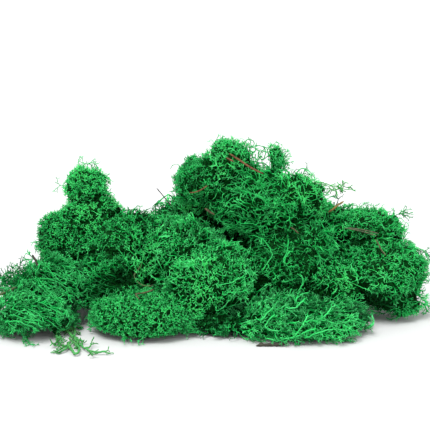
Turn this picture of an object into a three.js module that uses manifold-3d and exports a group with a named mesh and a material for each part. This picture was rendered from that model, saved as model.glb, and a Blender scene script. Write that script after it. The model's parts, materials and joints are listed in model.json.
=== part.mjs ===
// Reindeer moss clump: a loose heap of preserved, green-dyed lichen tufts, with the pine needles,
// twigs and bark that were gathered with them. Millimetres, +Z up: the heap lies on z = 0 with its
// length along x, and its front faces -Y. The origin is the middle of its footprint.
import * as THREE from "three";
import { mergeVertices } from "three/addons/utils/BufferGeometryUtils.js";
import Module from "manifold-3d";

const wasm = await Module();
wasm.setup();

// ---- driving dimensions ----

const gap = 0.3; // free space between pieces that lie against each other
const ground = { reach: 600, depth: 60 }; // the block that trims what would sink into the ground
const sameSpot = 1e-4; // corners nearer than this are one corner

// A tuft is [name, middle, half sizes, extras]. The first ones keep their whole shape, and each
// later one gives way where it leans on them. facets sets how fine its surface is, swell is how far
// its lumps rise as a share of its size, and turn is in degrees.
const usualTuft = { facets: 2, swell: 0.09, turn: [0, 0, 0], colour: "leaf" };
const lumps = { waves: 4, slowest: 3.2, tuftTurn: 2.4, waveTurn: 1.9, tilt: 1.7, fade: 0.5, sum: 1.6 };
const tufts = [
  // front row, on the ground
  ["front_left_cushion", [-47, -40, 13], [41, 31, 17], { swell: 0.045, colour: "bright" }],
  ["front_right_mat", [58, -41, 10], [50, 28, 15], { swell: 0.07, colour: "bright" }],
  ["front_middle_tuft", [5, -41, 6.5], [21, 20, 8.5], { facets: 1, colour: "deep" }],
  ["left_front_mat", [-125, -38, 12], [29, 27, 15], { swell: 0.12 }],
  ["right_foot_tuft", [133, -10, 10], [14, 14, 12], { swell: 0.12 }],

  // the cushions on and behind them
  ["centre_low_dome", [0, -24, 35], [35, 28, 27], { colour: "bright" }],
  ["right_middle_tuft", [83, -21, 29], [22, 20, 18], {}],
  ["centre_high_dome", [-22, -4, 43], [30, 31, 31], { swell: 0.07, colour: "bright" }],
  ["left_hollow_tuft", [-74, -6, 30], [28, 28, 28], { swell: 0.07, colour: "deep" }],
  ["left_back_mat", [-110, -19, 28], [25, 24, 16], { swell: 0.12 }],
  ["left_edge_tuft", [-140, -12, 26], [14, 14, 11], { facets: 1, swell: 0.14, colour: "deep" }],
  ["right_hollow_tuft", [50, -3, 36], [37, 32, 36], { colour: "deep" }],
  ["right_cushion", [115.5, 0, 32], [35, 35, 27], {}],

  // the left tower
  ["left_outer_cushion", [-106.5, 0, 55], [19.5, 20, 24], { swell: 0.07 }],
  ["left_inner_cushion", [-76, -1, 57], [27, 22, 20], {}],
  ["tower_neck", [-85, 5, 74], [21, 17, 17], {}],
  ["tower_head", [-90, 5, 93], [16, 16, 15.5], {}],
  ["saddle_tuft", [-55, 12, 61], [19, 17, 13], { colour: "deep" }],

  // the summit and the ridge that falls away to the right
  ["summit_peak", [8, 12, 109], [16, 17, 18], { swell: 0.12, colour: "bright" }],
  ["summit_left_head", [-13, 6, 97], [18, 19, 19], {}],
  ["summit_right_lace", [28, 17, 106], [14, 11, 14], { facets: 1, swell: 0.12 }],
  ["summit_knob", [43, 18, 108], [7, 7, 12], { facets: 1 }],
  ["shoulder_tuft", [33, 6, 81], [38, 27, 23], { colour: "deep" }],
  ["ridge_tuft", [65, 14, 82], [14, 16, 20], { swell: 0.12, turn: [0, -28, 0] }],
  ["right_crest_cushion", [108, 16, 60], [28, 24, 15], {}],

  // loose sprigs that hang on by a branch or two
  ["trailing_sprig", [-89.5, -68.5, 3.5], [24, 8, 4], { facets: 1, turn: [0, 0, -38], colour: "pale" }],
  ["stray_ridge_sprig", [84, 14, 90], [12, 3, 2.5], { facets: 1, turn: [0, 10, 0], colour: "pale" }],
  ["stray_crest_sprig", [130, 22, 66], [4, 4, 9], { facets: 1, turn: [0, 35, 0] }],

  // the back of the heap
  ["back_left_tuft", [-92, 36, 35], [38, 30, 33], {}],
  ["back_middle_tuft", [-14, 44, 42], [44, 32, 38], {}],
  ["back_right_tuft", [74, 42, 36], [50, 34, 38], {}],
  ["back_summit_tuft", [12, 34, 84], [32, 20, 25], { swell: 0.12 }],
  ["back_foot_left", [-56, 70, 13], [36, 20, 15], { colour: "deep" }],
  ["back_foot_right", [26, 76, 13], [40, 20, 16], { colour: "deep" }],
];

// A stick is [name, its points from end to end, width, thickness, finish]. The points say where it
// is seen from the front, and how deep it lies is found by pushing it in and drawing it out again.
const sticks = [
  ["summit_needle", [[10, -8, 117], [22, -12, 112], [33, -16, 106]], 1.5, 1.0, "needle"],
  ["summit_needle_stub", [[8, -8, 114], [13, -11, 111]], 1.5, 1.0, "needle"],
  ["head_needle", [[-18, -11, 91], [-11, -12, 92.5], [-5, -11, 95]], 1.3, 0.9, "needle"],
  ["head_flake", [[-8, -16, 86], [-4, -17, 80]], 3.4, 0.8, "needle"],
  ["saddle_needle", [[-43, 28, 89], [-37, 28, 80.5], [-30, 27, 72]], 0.9, 0.8, "bark"],
  ["ridge_twig", [[80, 4, 75], [86, 4, 80], [91, 4, 84]], 1.6, 1.4, "needle"],
  ["crest_needle_upper", [[90, -6, 67], [102, -9, 66], [114, -10, 63]], 1.2, 0.9, "bark"],
  ["crest_needle_lower", [[91, -9, 65], [102, -12, 63], [113, -13, 60]], 1.2, 0.9, "bark"],
  ["cushion_needle", [[109, -18, 60], [112, -22, 56], [117, -25, 51]], 1.2, 0.9, "needle"],
  ["shoulder_needle", [[51, -18, 74], [57, -20, 69]], 1.2, 0.9, "bark"],
  ["curled_twig", [[-51, -28, 45], [-54, -32, 39], [-50, -36, 35], [-42, -39, 33]], 1.2, 1.0, "needle"],
  ["bent_needle", [[-41, -50, 36], [-53, -56, 33], [-49, -60, 30]], 1.3, 0.9, "needle"],
  ["ground_bark", [[27, -69, 0.8], [38, -68, 1.0], [48, -66, 0.8]], 3.2, 1.6, "bark"],
  ["edge_twig", [[-156, -30, 24], [-148, -28, 25], [-136, -26, 28]], 2.2, 2.0, "bark"],
  ["edge_bark_chip", [[-127, -20, 48], [-123, -21, 40]], 2.4, 1.2, "bark"],
];
const stickSection = { corners: 6, ringEvery: 6 };
const drawOut = { from: -14, to: 14, step: 0.2, way: new THREE.Vector3(0, -0.97, 0.24) };

// Dyed lichen is dull and soft. Needles and bark are dry wood.
const finishes = {
  bright: { color: 0x2fae5c, roughness: 0.9, metalness: 0 },
  leaf: { color: 0x1c8c46, roughness: 0.9, metalness: 0 },
  deep: { color: 0x126b34, roughness: 0.95, metalness: 0 },
  pale: { color: 0x4fae5a, roughness: 0.85, metalness: 0 },
  needle: { color: 0x8a4a2c, roughness: 0.6, metalness: 0 },
  bark: { color: 0x3d3a2c, roughness: 0.8, metalness: 0 },
};

// ---- joining and cutting ----

function solidFrom(geometry) {
  const bare = geometry.clone();
  bare.deleteAttribute("normal");
  bare.deleteAttribute("uv");
  const closed = mergeVertices(bare, sameSpot);
  return new wasm.Manifold(
    new wasm.Mesh({
      numProp: 3,
      vertProperties: new Float32Array(closed.attributes.position.array),
      triVerts: new Uint32Array(closed.index.array),
    }),
  );
}

function meshFrom(solid, name, finish) {
  const { vertProperties, triVerts } = solid.getMesh();
  const geometry = new THREE.BufferGeometry();
  geometry.setAttribute("position", new THREE.BufferAttribute(vertProperties, 3));
  geometry.setIndex(new THREE.BufferAttribute(triVerts, 1));
  geometry.computeVertexNormals();
  const mesh = new THREE.Mesh(geometry, new THREE.MeshStandardMaterial(finishes[finish]));
  mesh.name = name;
  return mesh;
}

// A cut can leave crumbs beside a tuft, and only the tuft itself is kept.
function largestPart(solid) {
  return solid.decompose().reduce((most, part) => (part.volume() > most.volume() ? part : most));
}

function groundUpTo(height) {
  const block = new THREE.BoxGeometry(ground.reach, ground.reach, ground.depth);
  return solidFrom(block.translate(0, 0, height - ground.depth / 2));
}

// ---- tufts ----

// How high the lumps stand in a direction from the tuft's middle, from about -1 to 1. Waves run
// across the tuft, each at an angle of its own and each finer and lower than the one before.
function lumpHeight(direction, seed) {
  let height = 0;
  for (let wave = 0; wave < lumps.waves; wave++) {
    const angle = lumps.tuftTurn * seed + lumps.waveTurn * (wave + 1);
    const across = new THREE.Vector3(Math.cos(angle), Math.sin(angle), Math.cos(lumps.tilt * angle));
    const phase = (lumps.slowest + wave) * direction.dot(across) + seed + wave;
    height += Math.sin(phase) / (1 + lumps.fade * (wave + 1));
  }
  return height / lumps.sum;
}

// A lumpy cushion. spare makes it larger all round, for the room that its neighbours leave it.
function cushion([, middle, half, extras], seed, spare) {
  const { facets, swell, turn } = { ...usualTuft, ...extras };
  const ball = new THREE.IcosahedronGeometry(1, facets);
  const place = ball.getAttribute("position");
  const rotation = new THREE.Euler(...turn.map(THREE.MathUtils.degToRad));
  const reach = new THREE.Vector3(...half).addScalar(spare);
  const point = new THREE.Vector3();
  for (let i = 0; i < place.count; i++) {
    point.fromBufferAttribute(place, i).normalize();
    const rise = 1 + swell * lumpHeight(point, seed);
    point.multiply(reach).multiplyScalar(rise).applyEuler(rotation);
    place.setXYZ(i, ...point.toArray());
  }
  return solidFrom(ball.translate(...middle));
}

// Each tuft in turn, flat where it lies on the ground and cut back from those already laid.
function layTufts() {
  const earth = groundUpTo(0);
  const laid = [];
  tufts.forEach((tuft, seed) => {
    let body = cushion(tuft, seed, 0).subtract(earth);
    for (const { room } of laid) {
      body = body.subtract(room);
    }
    laid.push({ tuft, body: largestPart(body), room: cushion(tuft, seed, gap) });
  });
  return laid;
}

// ---- needles, twigs and bark ----

function sectionShape(width, thickness) {
  const corners = [];
  for (let corner = 0; corner < stickSection.corners; corner++) {
    const angle = (corner * 2 * Math.PI) / stickSection.corners;
    corners.push(new THREE.Vector2((thickness / 2) * Math.cos(angle), (width / 2) * Math.sin(angle)));
  }
  return new THREE.Shape(corners);
}

function stickGeometry([, points, width, thickness], spare) {
  const line = new THREE.CatmullRomCurve3(points.map((point) => new THREE.Vector3(...point)));
  return new THREE.ExtrudeGeometry(sectionShape(width + 2 * spare, thickness + 2 * spare), {
    steps: Math.max(2, Math.round(line.getLength() / stickSection.ringEvery)),
    extrudePath: line,
    bevelEnabled: false,
  });
}

// The stick as deep in the heap as leaves it free: it starts inside and comes out to the front.
function laidOn(heap, stick) {
  for (let way = drawOut.from; way <= drawOut.to; way += drawOut.step) {
    const shift = drawOut.way.clone().multiplyScalar(way).toArray();
    const room = solidFrom(stickGeometry(stick, gap).translate(...shift));
    if (heap.intersect(room).volume() <= 0) {
      return solidFrom(stickGeometry(stick, 0).translate(...shift));
    }
  }
  throw new Error(`${stick[0]} finds no place on the heap`);
}

// ---- the clump ----

const clump = new THREE.Group();
const laid = layTufts();
let heap = groundUpTo(-gap);
for (const { tuft, body } of laid) {
  const [name, , , extras] = tuft;
  clump.add(meshFrom(body, name, { ...usualTuft, ...extras }.colour));
  heap = heap.add(body);
}

for (const stick of sticks) {
  const [name, , , , finish] = stick;
  clump.add(meshFrom(laidOn(heap, stick), name, finish));
}

const middle = new THREE.Box3().setFromObject(clump).getCenter(new THREE.Vector3());
clump.position.set(-middle.x, -middle.y, 0);

export default clump;
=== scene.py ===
import json
import math
import random

import bmesh
import bpy
import numpy as np
from mathutils import Matrix, Vector, noise
from mathutils.bvhtree import BVHTree


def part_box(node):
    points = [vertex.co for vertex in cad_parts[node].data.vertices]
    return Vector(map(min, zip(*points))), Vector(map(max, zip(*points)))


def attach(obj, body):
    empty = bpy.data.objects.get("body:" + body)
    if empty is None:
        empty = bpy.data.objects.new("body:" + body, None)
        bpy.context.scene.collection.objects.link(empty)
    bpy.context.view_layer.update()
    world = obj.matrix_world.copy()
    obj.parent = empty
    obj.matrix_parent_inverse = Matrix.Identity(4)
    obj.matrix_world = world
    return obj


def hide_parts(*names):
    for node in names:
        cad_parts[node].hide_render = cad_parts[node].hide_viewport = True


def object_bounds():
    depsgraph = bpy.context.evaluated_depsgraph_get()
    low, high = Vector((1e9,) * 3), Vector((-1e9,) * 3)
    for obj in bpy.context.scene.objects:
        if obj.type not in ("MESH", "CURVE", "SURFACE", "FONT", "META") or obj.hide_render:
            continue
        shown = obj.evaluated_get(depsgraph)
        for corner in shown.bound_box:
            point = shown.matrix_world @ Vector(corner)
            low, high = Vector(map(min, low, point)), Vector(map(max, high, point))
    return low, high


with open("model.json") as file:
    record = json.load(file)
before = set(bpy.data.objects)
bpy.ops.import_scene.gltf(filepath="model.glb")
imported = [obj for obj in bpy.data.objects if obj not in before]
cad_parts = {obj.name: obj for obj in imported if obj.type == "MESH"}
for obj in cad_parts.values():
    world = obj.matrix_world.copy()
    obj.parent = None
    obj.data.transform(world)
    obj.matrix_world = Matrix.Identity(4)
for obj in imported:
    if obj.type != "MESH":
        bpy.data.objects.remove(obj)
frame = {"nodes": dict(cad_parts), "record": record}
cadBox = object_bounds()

mm = 0.001

print("camera, light and floor")

# in metres and degrees, but the lens and its sensor in mm
studio = {
    "elevation": 14.0,  # degrees above level
    "distance": 1.0,
    "aim": (0.0023, -0.0060, 0.073),
    "lens": 119.6,
    "sensor": 36,
    "floorSize": 3,
    "floorColour": (0.600, 0.603, 0.608, 1),
    "floorRoughness": 0.9,
    "skyColour": (1.0, 1.0, 1.0, 1),
    "skyStrength": 0.95,
    "key": {"from": (-0.3, -0.7, 1.33), "softness": 29, "power": 3.15},
    "fill": {"from": (0.9, -0.8, 0.63), "softness": 40, "power": 0.7},
}
tilt = math.radians(studio["elevation"])
toCamera = Vector((0, -math.cos(tilt), math.sin(tilt)))
upInPicture = Vector((0, math.sin(tilt), math.cos(tilt)))
eye = Vector(studio["aim"]) + toCamera * studio["distance"]


def sightLine(across, upwards):
    # from the camera through a point given in mm from the middle of its picture
    fromMiddle = (Vector((across, 0, 0)) + upInPicture * upwards) * mm
    return (Vector(studio["aim"]) + fromMiddle - eye).normalized()


def lookAt(thing, target):
    thing.rotation_euler = (Vector(target) - thing.location).to_track_quat("-Z", "Y").to_euler()


def softLamp(name):
    # as even as daylight, so the floor stays pale far behind the heap
    lamp = bpy.data.objects.new(name, bpy.data.lights.new(name, "SUN"))
    lamp.data.angle = math.radians(studio[name]["softness"])
    lamp.data.energy = studio[name]["power"]
    lamp.location = studio[name]["from"]
    lookAt(lamp, (0, 0, 0))
    bpy.context.collection.objects.link(lamp)


def setStudio():
    scene = bpy.context.scene
    scene.view_settings.view_transform = "Standard"
    camera = bpy.data.objects.new("camera", bpy.data.cameras.new("camera"))
    camera.data.lens = studio["lens"]
    camera.data.sensor_width = studio["sensor"]
    camera.location = eye
    lookAt(camera, studio["aim"])
    bpy.context.collection.objects.link(camera)
    scene.camera = camera

    softLamp("key")
    softLamp("fill")

    world = bpy.data.worlds.new("sky")
    world.use_nodes = True
    sky = world.node_tree.nodes["Background"]
    sky.inputs["Color"].default_value = studio["skyColour"]
    sky.inputs["Strength"].default_value = studio["skyStrength"]
    scene.world = world


def layFloor():
    bm = bmesh.new()
    bmesh.ops.create_grid(bm, x_segments=1, y_segments=1, size=studio["floorSize"])
    mesh = bpy.data.meshes.new("floor")
    bm.to_mesh(mesh)
    bm.free()
    floor = bpy.data.objects.new("floor", mesh)
    material = bpy.data.materials.new("paleFloor")
    material.use_nodes = True
    shader = material.node_tree.nodes["Principled BSDF"]
    shader.inputs["Base Color"].default_value = studio["floorColour"]
    shader.inputs["Roughness"].default_value = studio["floorRoughness"]
    mesh.materials.append(material)
    bpy.context.collection.objects.link(floor)


setStudio()
layFloor()

print("lichen materials")

# The map of a tuft holds its branches above this height, where they lie by along and tone, and its
# inside below. along is 0 deep in a branch and 1 at its tips, tone tells one branch from the next and also
# carries painted light and shade.
strandHalf = 0.5
chartGap = 0.02  # left free below that height, and around each tile of the inside

lichenLook = {
    "deepToStem": (0.05, 0.5),  # shares of along, from the painted shade deep down to the stem
    "stemToTip": (0.45, 1.0),
    "bleachFrom": 0.7,  # a branch of a higher tone took less dye; where painted light raised its tone, this paling is painted light too
    "bleach": 0.35,
    "bleached": (0.10, 0.55, 0.13, 1),
    "fullTone": 0.8,
    "shade": (0.10, 1.50),  # of dark and of pale branches
    "roughness": (0.8, 0.55),
    "shine": 0.03,
}
# deep is painted shade for the depth of a tuft, stem and tip are the dyed colours
mossColours = {
    "moss_bright": {
        "deep": (0.001, 0.10, 0.014, 1), "stem": (0.006, 0.41, 0.070, 1), "tip": (0.095, 0.63, 0.205, 1)},
    "moss_leaf": {
        "deep": (0.001, 0.09, 0.012, 1), "stem": (0.005, 0.38, 0.064, 1), "tip": (0.078, 0.59, 0.184, 1)},
    "moss_deep": {
        "deep": (0.000, 0.045, 0.005, 1), "stem": (0.005, 0.32, 0.054, 1), "tip": (0.056, 0.52, 0.148, 1)},
    "moss_pale": {
        "deep": (0.020, 0.12, 0.030, 1), "stem": (0.070, 0.25, 0.068, 1), "tip": (0.050, 0.29, 0.078, 1)},
}
# painted shade: the inside is coloured as the dark deep between the branches, with a net of dim threads
heartShadeColours = {"dark": (0.0, 0.008, 0.001, 1), "thread": (0.001, 0.050, 0.006, 1), "size": 420}
netShape = {"warp": {"Scale": 350, "Detail": 1}, "bend": (0.004, 0.004, 0.004), "line": (0.04, 0.16)}


def addNode(tree, kind, sockets, **settings):
    # sockets gives every input its value or the output that feeds it
    node = tree.nodes.new("ShaderNode" + kind)
    for setting, value in settings.items():
        setattr(node, setting, value)
    for name, value in sockets.items():
        if isinstance(value, bpy.types.NodeSocket):
            tree.links.new(value, node.inputs[name])
        else:
            node.inputs[name].default_value = value
    return node


def addRange(tree, value, start=(0.0, 1.0), end=(0.0, 1.0)):
    # value goes from the first range to the second
    ends = {"From Min": start[0], "From Max": start[1], "To Min": end[0], "To Max": end[1]}
    return addNode(tree, "MapRange", {"Value": value, **ends}).outputs["Result"]


def addMix(tree, share, first, second):
    mix = addNode(tree, "Mix", {"Factor": share, "A": first, "B": second}, data_type="RGBA")
    return mix.outputs["Result"]


def startGroup(name, given, made):
    # given and made are the sockets, with their kinds
    tree = bpy.data.node_groups.new(name, "ShaderNodeTree")
    for direction, sockets in (("INPUT", given), ("OUTPUT", made)):
        for socket, kind in sockets.items():
            tree.interface.new_socket(socket, in_out=direction, socket_type="NodeSocket" + kind)
    return tree, tree.nodes.new("NodeGroupInput").outputs


def endGroup(tree, made):
    out = tree.nodes.new("NodeGroupOutput")
    for name, source in made.items():
        tree.links.new(source, out.inputs[name])
    return tree


def startMaterial(name):
    material = bpy.data.materials.new(name)
    material.use_nodes = True
    return material, material.node_tree, material.node_tree.nodes["Principled BSDF"]


def lichenGroup():
    # dyed branches, pale at their tips and darkened by painted shade where they are deep; their tone also
    # carries painted light and shade
    sockets = {"along": "Float", "tone": "Float", "deep": "Color", "stem": "Color", "tip": "Color"}
    tree, given = startGroup("dyeAndShade", sockets, {"colour": "Color", "roughness": "Float"})
    lower = addRange(tree, given["along"], lichenLook["deepToStem"])
    upper = addRange(tree, given["along"], lichenLook["stemToTip"])
    toStem = addMix(tree, lower, given["deep"], given["stem"])
    toTip = addMix(tree, upper, toStem, given["tip"])
    bleach = addRange(tree, given["tone"], (lichenLook["bleachFrom"], 1.0), (0.0, lichenLook["bleach"]))
    bleached = addMix(tree, bleach, toTip, lichenLook["bleached"])
    shade = addRange(tree, given["tone"], (0.0, lichenLook["fullTone"]), lichenLook["shade"])
    tint = addNode(tree, "HueSaturation", {"Color": bleached, "Value": shade})
    roughness = addRange(tree, given["along"], end=lichenLook["roughness"])
    return endGroup(tree, {"colour": tint.outputs["Color"], "roughness": roughness})


def matGroup():
    # a fine net of threads over painted shade, for the matted inside of a tuft
    tree, given = startGroup("threadsInShade", {"dark": "Color", "thread": "Color", "size": "Float"},
                             {"colour": "Color"})
    where = addNode(tree, "TexCoord", {}).outputs["Object"]
    warp = addNode(tree, "TexNoise", {**netShape["warp"], "Vector": where})
    bent = addNode(tree, "VectorMath", {0: warp.outputs["Color"], 1: netShape["bend"], 2: where},
                   operation="MULTIPLY_ADD")
    net = addNode(tree, "TexVoronoi", {"Vector": bent.outputs["Vector"], "Scale": given["size"]},
                  feature="DISTANCE_TO_EDGE")
    line = addRange(tree, net.outputs["Distance"], netShape["line"], (1.0, 0.0))
    return endGroup(tree, {"colour": addMix(tree, line, given["dark"], given["thread"])})


lichen = lichenGroup()
matted = matGroup()


def mossMaterial(slot):
    # branches and the matted inside, coloured as painted shade, in one finish, told apart by their height
    # on the map
    material, tree, shader = startMaterial(slot)
    chart = addNode(tree, "UVMap", {}, uv_map="OFBake").outputs["UV"]
    place = addNode(tree, "SeparateXYZ", {"Vector": chart}).outputs
    tone = addRange(tree, place["Y"], (strandHalf, 1.0))
    branches = addNode(tree, "Group", {**mossColours[slot], "along": place["X"], "tone": tone},
                       node_tree=lichen).outputs
    inside = addNode(tree, "Group", heartShadeColours, node_tree=matted).outputs
    split = strandHalf - chartGap / 2
    isBranch = addNode(tree, "Math", {0: place["Y"], 1: split}, operation="GREATER_THAN").outputs["Value"]
    colour = addMix(tree, isBranch, inside["colour"], branches["colour"])
    tree.links.new(colour, shader.inputs["Base Color"])
    tree.links.new(branches["roughness"], shader.inputs["Roughness"])
    shader.inputs["Specular IOR Level"].default_value = lichenLook["shine"]
    return material


mossMaterials = {slot: mossMaterial(slot) for slot in mossColours}

print("lichen tufts")

usualTuft = {
    "root": (0, 0.1, -0.6),  # where it grew from, as shares of its half sizes
    "habit": "closed",  # it hides its inside. Light falls through a bush, and a sprig is a few branches
    "tone": 0.5,
    "size": 0.9,
    "relief": 1.0,  # how high its lumps stand
    "lying": 0.0,  # share of stems, besides those where it turns away from its root
    "curls": 0.25,  # share of curls among its other sprigs
    "threads": 0.12,  # shares of all that starts on it
    "runners": 0.04,
    "runnerSize": 1.0,
    "runnerTone": 0.6,
    "calm": 1.0,  # how much its stems, runners and threads wander
}
tufts = {
    "front_left_cushion": {"root": (0, 0.1, -0.9), "tone": 0.6, "size": 0.75, "relief": 0.5, "curls": 0.05,
                           "threads": 0.0, "runners": 0.0},
    "front_right_mat": {"root": (-2.2, 0.3, 0.0), "size": 0.81, "relief": 0.7, "lying": 0.25, "curls": 0.1,
                        "threads": 0.05, "runners": 0.05, "runnerSize": 1.2, "calm": 0.6},
    "front_middle_tuft": {"root": (0, 0.9, 0.0), "tone": 0.45},
    "left_front_mat": {"root": (-2.2, 0.6, 0.4), "size": 0.83, "lying": 0.5, "curls": 0.05, "threads": 0.0,
                       "runners": 0.22, "runnerTone": 0.58, "calm": 0.35},
    "right_foot_tuft": {"root": (0, 0.6, 0.2), "tone": 0.66, "threads": 0.2},
    "centre_low_dome": {"root": (0.1, 0.2, -0.8), "tone": 0.68, "size": 0.84, "curls": 0.2,
                        "threads": 0.08},
    "right_middle_tuft": {"root": (0.1, 0.5, -0.3), "tone": 0.62, "size": 0.8, "curls": 0.4,
                          "threads": 0.15},
    "centre_high_dome": {"root": (0.1, 0.2, -0.8), "tone": 0.6, "size": 0.8, "curls": 0.15, "threads": 0.06,
                         "runners": 0.03},
    "left_hollow_tuft": {"root": (0.9, 0.0, -0.3), "tone": 0.52, "size": 0.82, "lying": 0.2,
                         "threads": 0.1},
    "left_back_mat": {"root": (-1.5, 0.2, 1.2), "tone": 0.48, "size": 0.8, "lying": 0.6, "curls": 0.05,
                      "threads": 0.0, "runners": 0.2, "runnerTone": 0.52, "calm": 0.35},
    "left_edge_tuft": {"root": (0.6, 0.0, -0.5), "tone": 0.35, "habit": "bush"},
    "right_hollow_tuft": {"root": (0.1, 0.3, 0.5), "tone": 0.54, "size": 0.87, "lying": 0.2,
                          "threads": 0.25},
    "right_cushion": {"root": (-0.4, 0.3, -0.1), "tone": 0.62, "size": 0.84, "threads": 0.2},
    "left_outer_cushion": {"root": (0.3, 0.2, -0.6), "tone": 0.64, "size": 0.76, "curls": 0.15,
                           "threads": 0.04, "runners": 0.0},
    "left_inner_cushion": {"root": (0.0, 0.2, -0.6), "tone": 0.62, "size": 0.76, "curls": 0.15,
                           "threads": 0.06, "runners": 0.01},
    "tower_neck": {"tone": 0.78, "size": 0.76, "curls": 0.15, "threads": 0.06, "runners": 0.0},
    "tower_head": {"root": (0, 0, -0.8), "tone": 0.72, "size": 0.74, "curls": 0.1, "threads": 0.04,
                   "runners": 0.0},
    "saddle_tuft": {"tone": 0.42, "threads": 0.25},
    "summit_peak": {"root": (0, 0, -0.8), "tone": 0.7, "size": 0.77},
    "summit_left_head": {"root": (0.3, 0.1, -0.3), "tone": 0.58, "size": 0.76, "curls": 0.15},
    "summit_right_lace": {"habit": "sprig", "size": 0.7},
    "summit_knob": {"root": (0, 0, -0.9), "tone": 0.66, "size": 0.56, "relief": 0.4, "curls": 0.08},
    "shoulder_tuft": {"root": (0.5, 0.0, -0.5), "tone": 0.64, "lying": 0.2, "threads": 0.35, "runners": 0.1,
                      "calm": 0.8},
    "ridge_tuft": {"tone": 0.76, "size": 0.8, "threads": 0.2},
    "right_crest_cushion": {"root": (-0.1, 0.2, -0.6), "tone": 0.66, "size": 0.78, "threads": 0.2},
    "trailing_sprig": {"habit": "sprig", "size": 0.95},
    "stray_ridge_sprig": {"habit": "sprig", "size": 0.8},
    "stray_crest_sprig": {"habit": "sprig", "size": 0.6},
    "back_left_tuft": {"size": 1.2, "curls": 0.15},
    "back_middle_tuft": {"size": 1.2, "curls": 0.15},
    "back_right_tuft": {"size": 1.2, "curls": 0.15},
    "back_summit_tuft": {"size": 1.2, "curls": 0.15},
    "back_foot_left": {"tone": 0.4, "size": 1.25, "curls": 0.1},
    "back_foot_right": {"tone": 0.4, "size": 1.25, "curls": 0.1},
}

# Dark hollows and sunlit spots: the middle, the radius and how far the tufts are sunk there, in mm,
# and the change of tone, which paints shade into the hollows and light onto the sunlit spots.
spots = [
    ((-59, -35, 35), 8, 8.0, -1.5),  # beside the left hollow tuft, painted dark as shade
    ((-47, -23, 36), 9, -1.0, 0.4),
    ((-76, -37, 30), 9, 1.5, -0.2),
    ((-93, -41, 14), 11, 3.5, -0.6),  # the gap at the end of the left mats
    ((-94, -56, 4), 12, 5.0, 0.0),
    ((-130, -70, 2), 26, 4.5, 0.1),
    ((-106, -70, 3), 12, 4.0, 0.0),
    ((-17, -60, 15), 8, 2.0, -0.3),  # between the front cushions
    ((1, -54, 12), 9, 2.0, -0.4),
    ((-6, -54, 25), 12, -2.0, 0.35),
    ((17, -53, 18), 9, 2.0, -0.4),
    ((4, -66, 2), 18, 11.0, 0.2),
    ((8, -66, 11), 10, 0.0, 0.2),
    ((22, -68, 3), 11, -3.0, 0.0),
    ((-5, -56, 40), 13, 0.0, 0.2),
    ((90, -66, 3), 18, -3.5, 0.0),
    ((104, -60, 10), 10, 1.5, 0.0),
    ((104, -56, 19), 13, 4.0, -0.35),
    ((60, -55, 26), 22, 1.5, -0.2),
    ((109, -36, 13), 12, 3.0, -2.0),  # the cave under the right cushion, painted nearly black as its shade
    ((118, -30, 8), 9, 0.0, -1.8),
    ((58, -25, 66), 7, 4.0, -0.3),
    ((8, 0, 60), 10, 3.0, -0.2),
    ((24, -19, 55), 8, 4.0, -0.3),
    ((19, -36, 56), 7, 1.0, -0.15),
    ((45, -23, 67), 6, 3.0, -0.2),
    ((36, -38, 33), 7, 3.0, -0.4),  # behind the right mat
    ((62, -39, 28), 7, 2.0, -0.3),
    ((43, -38, 43), 6, 2.0, -0.2),
    ((-102, -25, 50), 6, 3.0, -0.25),
    ((-12, -18, 98), 10, 2.0, -0.3),
    ((3, -9, 102), 9, 0.0, 0.3),
    ((103, -12, 59), 7, 3.0, -0.2),
    ((18, -22, 75), 6, 3.0, -0.25),
    ((76, -44, 26), 9, 3.0, -0.3),
    ((32, -25, 78), 5, 3.0, -0.25),
    ((-25, 0, 107), 12, 2.5, 0.0),
    ((144, -22, 55), 13, 4.0, 0.0),
    ((133, -8, 62), 10, 2.0, 0.0),
    ((-50, -26, 48), 16, 0.0, 0.25),
    ((-32, -28, 56), 14, 0.0, 0.1),
    ((-8, -24, 68), 16, 0.0, -0.15),
    ((-8, 16, 70), 14, -5.0, 0.7),
    ((-85, -18, 74), 12, -1.5, 0.3),
    ((-90, -6, 106), 10, 0.0, 0.35),
    ((-122, -10, 62), 14, 0.0, -0.2),
    ((66, -6, 92), 18, 0.0, 0.3),
    ((80, -1, 78), 12, 0.0, 0.2),
    ((95, -42, 33), 13, 0.0, 0.35),
    ((117, -42, 38), 10, 0.0, 0.25),
    ((139, -23, 50), 10, 0.0, 0.2),
    ((-99, 0, 88), 10, -3.0, 0.1),
    ((-59, -8, 77), 9, -1.5, 0.0),
]

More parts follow.
